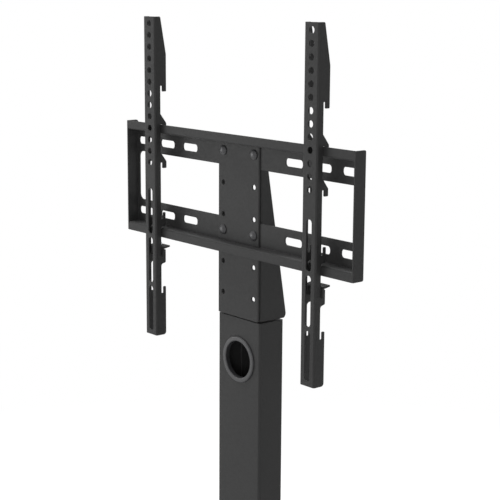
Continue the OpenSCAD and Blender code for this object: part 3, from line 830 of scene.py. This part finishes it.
ring_inner = PIVOT_D / 2 + RING_PLAY
ring_outer = COLLAR_INNER_R - RING_PLAY
ring_low = RING_SEAT + RING_PLAY
grip = turned(
    [(ring_inner, ring_low), (ring_outer, ring_low), (ring_outer, RING_TOP - RING_CHAMFER)]
    + [(ring_outer - RING_CHAMFER_IN, RING_TOP), (ring_inner, RING_TOP)]
)
make_piece("pivot_nut_grip_ring", placed(grip, at(0, 0, Z_NUT)), "head", SLIP)

# %% [markdown]
# ## Safety screws
#
# A small socket screw stands in the tab of each locking bracket. Turned up, it rises
# behind the lower lip, and the rail can't be lifted off. It is drawn backed off.
# The head with its socket comes from the construction node, cut free under the head,
# and the plain shank is replaced by a rod with a real thread. A twentieth of a
# millimetre comes off under the head, so that it doesn't cut the tab when it is tight.

# %% Safety screws
RAIL_X = 157.0
SEAT = (-28.03, 942.84)
LEAN = math.radians(10.0)
SAFETY_D = 4.0
SAFETY_PITCH = 0.7
SAFETY_THREAD_STEPS = 16
SAFETY_ROUND = 0.2
SCREW_LENGTH = 18.0
BACKED_OFF = 9.0
HEAD_GAP = 0.05
SUNK_IN_HEAD = 0.5
ROD_LENGTH = SCREW_LENGTH + SUNK_IN_HEAD
axis = Vector((0.0, -math.sin(LEAN), math.cos(LEAN)))
for side, word in ((-1, "left"), (1, "right")):
    node = f"safety_{word}"
    seat = at(side * RAIL_X, *SEAT) @ Matrix.Rotation(LEAN, 4, "X")
    head = soft_copy(node, SAFETY_ROUND)
    under_head = seat @ (Vector((0.0, 0.0, -HEAD_GAP - BACKED_OFF)) * MM)
    cut_flat(head, under_head, axis)
    rod = threaded_rod(SAFETY_D, SAFETY_PITCH, ROD_LENGTH, SAFETY_THREAD_STEPS)
    tapered_tip(rod, ROD_LENGTH, SAFETY_D)
    screw = joined([head, placed(rod, seat @ at(0, 0, -BACKED_OFF - SUNK_IN_HEAD))])
    make_piece(f"{node}_threaded", screw, f"{node}_body", ZINC, node)

# %% [markdown]
# ## Cable rings
#
# A black plastic ring snaps into each cable hole, so that the sheared edge doesn't
# cut the cables. It has a rounded flange outside, a sleeve through the wall of the
# tube, and a snap rim behind it. It is one outline, turned.

# %% Cable rings
RING_IN_FRONT = (0.0, -20.0, 816.0)
RING_AT_BACK = (0.0, 20.0, 83.0)
BORE_R = 24.25
BORE_ROUND = 1.3
FLANGE_R = 30.5
FLANGE_T = 2.2
FLANGE_ROUND = 1.7
FLANGE_UNDERCUT = ((0.5, 0.4), (0.7, 0.0))
SLEEVE_R = 25.85
TUBE_WALL = 2.0
SNAP_RIM = ((0.8, 0.0), (0.9, -0.1), (0.8, -0.4), (0.0, -2.3), (-0.1, -2.4))
SLEEVE_END = -TUBE_WALL - 2.4
BORE_END_ROUND = 0.2
RING_STEPS = 96
cable_ring = turned(
    arc((BORE_R + BORE_ROUND, FLANGE_T - BORE_ROUND), BORE_ROUND, 180.0, 90.0)
    + arc((FLANGE_R - FLANGE_ROUND, FLANGE_T - FLANGE_ROUND), FLANGE_ROUND, 90.0, 0.0)
    + [(FLANGE_R - inset, height) for inset, height in FLANGE_UNDERCUT]
    + [(SLEEVE_R, 0.0), (SLEEVE_R, -TUBE_WALL)]
    + [(SLEEVE_R + out, -TUBE_WALL + height) for out, height in SNAP_RIM]
    + [(BORE_R + BORE_END_ROUND, SLEEVE_END), (BORE_R, SLEEVE_END + BORE_END_ROUND)],
    RING_STEPS,
)
upper = placed(cable_ring, at(*RING_IN_FRONT) @ forward)
lower = placed(cable_ring, at(*RING_AT_BACK) @ backward)
make_piece("cable_ring_upper", upper, "stand", PLASTIC, "cable_grommet")
make_piece("cable_ring_lower", lower, "stand", PLASTIC, "lower_grommet")

# %% [markdown]
# ## Rubber pads
#
# Four moulded pads carry the base. Two grooves run round the side, and three rings
# in the sole give it grip. Each is held by a screw that is sunk in it.

# %% Rubber pads
PADS = [(x, y) for x in (-248.0, 248.0) for y in (-158.0, 158.0)]
PAD_R = 20.0
PAD_H = 7.0
PAD_WELL_R = 7.0
PAD_WELL_H = 3.5
PAD_BORE_R = 2.8
PAD_EDGE = 0.4
PAD_ROUND = 1.5
PAD_STEPS = 64
SOLE_RINGS = (9.5, 12.5, 15.5)
SOLE_RING_W = 1.1
SOLE_RING_H = 0.6
GROOVES = (2.8, 4.6)
GROOVE_W = 0.8
GROOVE_DEPTH = 0.5
DRAFT = 0.1

sole = []
for radius in SOLE_RINGS:
    sole += [(radius, 0.0), (radius + DRAFT, SOLE_RING_H)]
    sole += [(radius + SOLE_RING_W - DRAFT, SOLE_RING_H), (radius + SOLE_RING_W, 0.0)]
side_grooves = []
for height in GROOVES:
    side_grooves += [(PAD_R, height), (PAD_R - GROOVE_DEPTH, height + DRAFT)]
    side_grooves += [(PAD_R - GROOVE_DEPTH, height + GROOVE_W - DRAFT)]
    side_grooves += [(PAD_R, height + GROOVE_W)]
pad = turned(
    [(PAD_WELL_R, 0.0)]
    + sole
    + arc((PAD_R - PAD_ROUND, PAD_ROUND), PAD_ROUND, -90.0, 0.0)
    + side_grooves
    + [(PAD_R, PAD_H - PAD_EDGE), (PAD_R - PAD_EDGE, PAD_H), (PAD_BORE_R, PAD_H)]
    + [(PAD_BORE_R, PAD_WELL_H), (PAD_WELL_R, PAD_WELL_H)],
    PAD_STEPS,
)
pads = [placed(pad, at(x, y, 0)) for x, y in PADS]
make_piece("rubber_pads_grooved", joined(pads), "stand", RUBBER, "rubber_feet")

# %% [markdown]
# ## A screw with a socket
#
# The turned head is left open at its crown. A hexagon is set in the opening, the two
# loops are bridged with faces, and the hexagon is extruded down and closed.


# %% Socket screws under the pads
PAN_R = 5.0
PAN_ROUND = 1.6
PAN_ROUND_Z = 1.0
PAN_EDGE = 0.1
PAD_SCREW_R = 2.5
PAD_SCREW_LENGTH = 10.5
PAD_SCREW_TIP = 0.2
KEY_MM = 3.0
KEY_DEPTH = 1.5


def socket_screw(outline, key, depth):
    """Turns a head that is open at its crown, and sinks a hexagon socket in it."""
    shape = turned(outline, ring=False)
    crown = [edge for edge in shape.edges if edge.is_boundary]
    top = outline[0][1] * MM
    hexagon = bmesh.ops.create_circle(
        shape,
        segments=FLATS,
        radius=key / 2 * TO_CORNER * MM,
        matrix=Matrix.Translation((0.0, 0.0, top)),
    )
    mouth = list({edge for vert in hexagon["verts"] for edge in vert.link_edges})
    bmesh.ops.bridge_loops(shape, edges=crown + mouth)
    walls = bmesh.ops.extrude_edge_only(shape, edges=mouth)["geom"]
    deep = [item for item in walls if isinstance(item, bmesh.types.BMVert)]
    bmesh.ops.translate(shape, vec=(0.0, 0.0, -depth * MM), verts=deep)
    open_floor = [edge for edge in shape.edges if edge.is_boundary]
    bmesh.ops.holes_fill(shape, edges=open_floor, sides=0)
    bmesh.ops.recalc_face_normals(shape, faces=shape.faces)
    return shape


foot_screw = socket_screw(
    arc((PAN_R - PAN_ROUND, PAN_ROUND_Z), PAN_ROUND, 90.0, 0.0, steps=6)
    + [(PAN_R, PAN_EDGE), (PAN_R - PAN_EDGE, 0.0), (PAD_SCREW_R, 0.0)]
    + [(PAD_SCREW_R, PAD_SCREW_TIP - PAD_SCREW_LENGTH)]
    + [(PAD_SCREW_R - PAD_SCREW_TIP, -PAD_SCREW_LENGTH), (0.0, -PAD_SCREW_LENGTH)],
    KEY_MM,
    KEY_DEPTH,
)
foot_screws = [placed(foot_screw, at(x, y, PAD_WELL_H) @ upside_down) for x, y in PADS]
make_piece("foot_screws_socketed", joined(foot_screws), "stand", OXIDE, "foot_screws")

# %% [markdown]
# ## Weld beads
#
# The post is welded to its foot plate, and the head's foot plate to the bracket.
# A weld made by hand is a row of small overlapping ripples, each a little different.
# A curve with a round section follows the seam, its radius swells and shrinks with
# each ripple, and it is then made a mesh. More than half of it is buried in the steel.


# %% A weld bead along a seam
RIPPLE_MM = 2.4
BEAD_STEP_MM = 0.6
BEAD_MERGE_MM = 0.001
RIPPLE_START = 0.25
SWELL_RANGE = (0.94, 1.04)
RIPPLE_LOW, RIPPLE_RISE = 0.82, 0.18


def seam_points(corners, closed):
    """Points along a seam, evenly spaced between its corners."""
    ends = corners + corners[:1] if closed else corners
    path = []
    for start, end in zip(ends, ends[1:]):
        start, end = Vector(start), Vector(end)
        stops = max(1, round((end - start).length / BEAD_STEP_MM))
        path += [start.lerp(end, i / stops) for i in range(stops)]
    if not closed:
        path.append(Vector(ends[-1]))
    return path


def bead_curve(name, path, closed, radius_mm, seed):
    """A curve through the points, its radius rippled."""
    chance = random.Random(seed)
    curve = bpy.data.curves.new(name, "CURVE")
    curve.dimensions = "3D"
    curve.bevel_depth = radius_mm * MM
    curve.bevel_resolution = 3
    curve.use_fill_caps = True
    spline = curve.splines.new("POLY")
    spline.points.add(len(path) - 1)
    spline.use_cyclic_u = closed
    travelled = 0.0
    swell = 1.0
    for i, (point, place) in enumerate(zip(spline.points, path)):
        if i:
            travelled += (place - path[i - 1]).length
        phase = (travelled % RIPPLE_MM) / RIPPLE_MM
        if phase < RIPPLE_START:
            swell = chance.uniform(*SWELL_RANGE)
        point.co = (*(place * MM), 1.0)
        point.radius = swell * (RIPPLE_LOW + RIPPLE_RISE * math.sin(math.pi * phase))
    return curve


def weld_bead(name, corners, closed, radius_mm, body, seed):
    """A rippled bead along corners (x, y, z) in millimetres."""
    curve = bead_curve(name, seam_points(corners, closed), closed, radius_mm, seed)
    holder = bpy.data.objects.new(name, curve)
    bpy.context.scene.collection.objects.link(holder)
    evaluated = holder.evaluated_get(bpy.context.evaluated_depsgraph_get())
    skin = bpy.data.meshes.new_from_object(evaluated)
    shape = bmesh.new()
    shape.from_mesh(skin)
    bmesh.ops.remove_doubles(shape, verts=shape.verts, dist=BEAD_MERGE_MM * MM)
    bmesh.ops.recalc_face_normals(shape, faces=shape.faces)
    bpy.data.objects.remove(holder)
    bpy.data.curves.remove(curve)
    bpy.data.meshes.remove(skin)
    make_piece(name, shape, body, COAT)


# %% [markdown]
# ## The three welds
#
# One bead runs all round the foot of the post. Two short ones hold the foot plate of
# the head between the flanges of the bracket. They have different seeds, so that their
# ripples don't fall alike, and every run of the script gives the same beads.

# %% Post and head welds
POST_HALF = (42.0, 20.0)
POST_ROUND = 3.5
Z_POST = 21.0
POST_BEAD_R = 2.3
POST_BEAD_OUT = 0.5
POST_BEAD_UP = 0.4
QUARTERS = ((1, 1), (-1, 1), (-1, -1), (1, -1))
HEAD_BEAD_R = 1.3
HEAD_BEAD_X = 38.0
HEAD_BEAD_Y = (-13.0, 15.0)
HEAD_BEAD_Z = 875.8

seam = []
for quarter, (x_sign, y_sign) in enumerate(QUARTERS):
    centre = (x_sign * (POST_HALF[0] - POST_ROUND), y_sign * (POST_HALF[1] - POST_ROUND))
    start_deg = quarter * 90.0
    bend = arc(centre, POST_ROUND + POST_BEAD_OUT, start_deg, start_deg + 90.0, steps=6)
    seam += [(x, y, Z_POST + POST_BEAD_UP) for x, y in bend]
weld_bead("post_foot_weld", seam, True, POST_BEAD_R, "stand", seed=1)
for side, word, seed in ((-1, "left", 1), (1, "right", 3)):
    seam = [(side * HEAD_BEAD_X, y, HEAD_BEAD_Z) for y in HEAD_BEAD_Y]
    weld_bead(f"head_foot_weld_{word}", seam, False, HEAD_BEAD_R, "head", seed)

# %% [markdown]
# ## Floor and light
#
# The picture has a clean white ground. The floor is pale and matt. To a ray that shows
# it, it glows at the level of white. Near the stand half of the glow gives way to the
# real shading, so that the stand still has its shadow, and the other half is stronger,
# so that the open floor stays white. Both fade away by 2.4 m, where floor and backdrop
# are the same white and no horizon shows.
# Light Path tells such rays apart: seen by the camera, mirrored, or through glass. The
# light that the floor gives to the stand comes from its real shading alone.

# %% Floor
FLOOR_SIZE = 60.0
FLOOR_HEX = "#f4f4f4"
FLOOR_ROUGHNESS = 0.9
WHITE = linear("#ffffff")
SHADED_SHARE = 0.5
NEAR_GLOW = 1.34
SHADED_TO = 1.0
WHITE_FROM = 2.4


def seen_directly(tree):
    """1 for rays that show the ground: from the camera, mirrored, or through glass."""
    path = add(tree, "ShaderNodeLightPath")
    seen = path.outputs["Is Camera Ray"]
    for kind in ("Is Glossy Ray", "Is Transmission Ray"):
        links = [(0, seen), (1, path.outputs[kind])]
        seen = add(tree, "ShaderNodeMath", [("operation", "MAXIMUM")], links).outputs[0]
    return seen


def fade_to_one(tree, distance, near):
    """A value that goes from near, close to the stand, to 1 where the floor is white."""
    settings = [("From Min", SHADED_TO), ("From Max", WHITE_FROM)]
    settings += [("To Min", near), ("To Max", 1.0)]
    return add(tree, "ShaderNodeMapRange", settings, [("Value", distance)]).outputs["Result"]


def make_floor():
    material, tree, shader, place = new_material("pale_floor")
    shader.inputs["Base Color"].default_value = linear(FLOOR_HEX)
    shader.inputs["Roughness"].default_value = FLOOR_ROUGHNESS
    length = [("operation", "LENGTH")]
    reach = add(tree, "ShaderNodeVectorMath", length, [("Vector", place)])
    distance = reach.outputs["Value"]
    white = fade_to_one(tree, distance, 1.0 - SHADED_SHARE)
    strength = fade_to_one(tree, distance, NEAR_GLOW)
    multiply = [("operation", "MULTIPLY")]
    share = add(tree, "ShaderNodeMath", multiply, [(0, white), (1, seen_directly(tree))])
    glow = add(tree, "ShaderNodeEmission", [("Color", WHITE)], [("Strength", strength)])
    parts = [(0, share.outputs[0]), (1, shader.outputs["BSDF"]), (2, glow.outputs[0])]
    mix = add(tree, "ShaderNodeMixShader", links=parts)
    output = next(n for n in tree.nodes if n.type == "OUTPUT_MATERIAL")
    tree.links.new(mix.outputs[0], output.inputs["Surface"])
    mesh = bpy.data.meshes.new("floor")
    shape = bmesh.new()
    bmesh.ops.create_grid(shape, x_segments=1, y_segments=1, size=FLOOR_SIZE / 2)
    shape.to_mesh(mesh)
    shape.free()
    mesh.materials.append(material)
    floor = bpy.data.objects.new("floor", mesh)
    bpy.context.scene.collection.objects.link(floor)
    return floor


make_floor()
print("floor", FLOOR_SIZE, "m square")

# %% [markdown]
# ## The studio lights
#
# The faces that look left are the brightest in the photograph, and the side of the
# post that faces right is darker. So a large soft key stands low at the left in front.
# A weak fill beside the camera lights the right sides, a light above and to the left
# brightens the lips and the flanges, and one behind draws the rear edges.
# Their powers were found by rendering each alone and matching the sum to the tones of
# the photograph. Sizes are in metres and powers in watts.


# %% Lights
HEAD = (0.0, 0.0, 1.0)
SOFTBOXES = [
    ("key_left", (-3.4, -2.7, 0.5), 2.0, 44.0),
    ("fill_by_camera", (2.1, -2.1, 1.3), 1.2, 17.0),
    ("top_left", (-1.0, 0.0, 3.6), 2.0, 90.0),
    ("back_left", (-1.6, 3.2, 1.4), 1.8, 40.0),
]


def add_softbox(name, place, size, power):
    """A square area light that looks at the head of the stand."""
    light = bpy.data.lights.new(name, "AREA")
    light.shape = "SQUARE"
    light.size = size
    light.energy = power
    lamp = bpy.data.objects.new(name, light)
    bpy.context.scene.collection.objects.link(lamp)
    aim = (Vector(HEAD) - Vector(place)).to_track_quat("-Z", "Y")
    lamp.matrix_world = Matrix.Translation(place) @ aim.to_matrix().to_4x4()


for softbox in SOFTBOXES:
    add_softbox(*softbox)
print("lights:", [name for name, *_ in SOFTBOXES])

# %% [markdown]
# ## The backdrop
#
# The world is white where it shows, and lights the stand only faintly from all round.

# %% World
BACKDROP_LIGHT = 0.08
world = bpy.data.worlds.new("studio")
bpy.context.scene.world = world
world.use_nodes = True
sky = world.node_tree
sky.nodes.clear()
levels = [("To Min", BACKDROP_LIGHT), ("To Max", 1.0)]
level = add(sky, "ShaderNodeMapRange", levels, [("Value", seen_directly(sky))])
glow = [("Strength", level.outputs["Result"])]
backdrop = add(sky, "ShaderNodeBackground", [("Color", WHITE)], glow)
add(sky, "ShaderNodeOutputWorld", links=[("Surface", backdrop.outputs[0])])
print("backdrop white to the camera, and", BACKDROP_LIGHT, "as light")
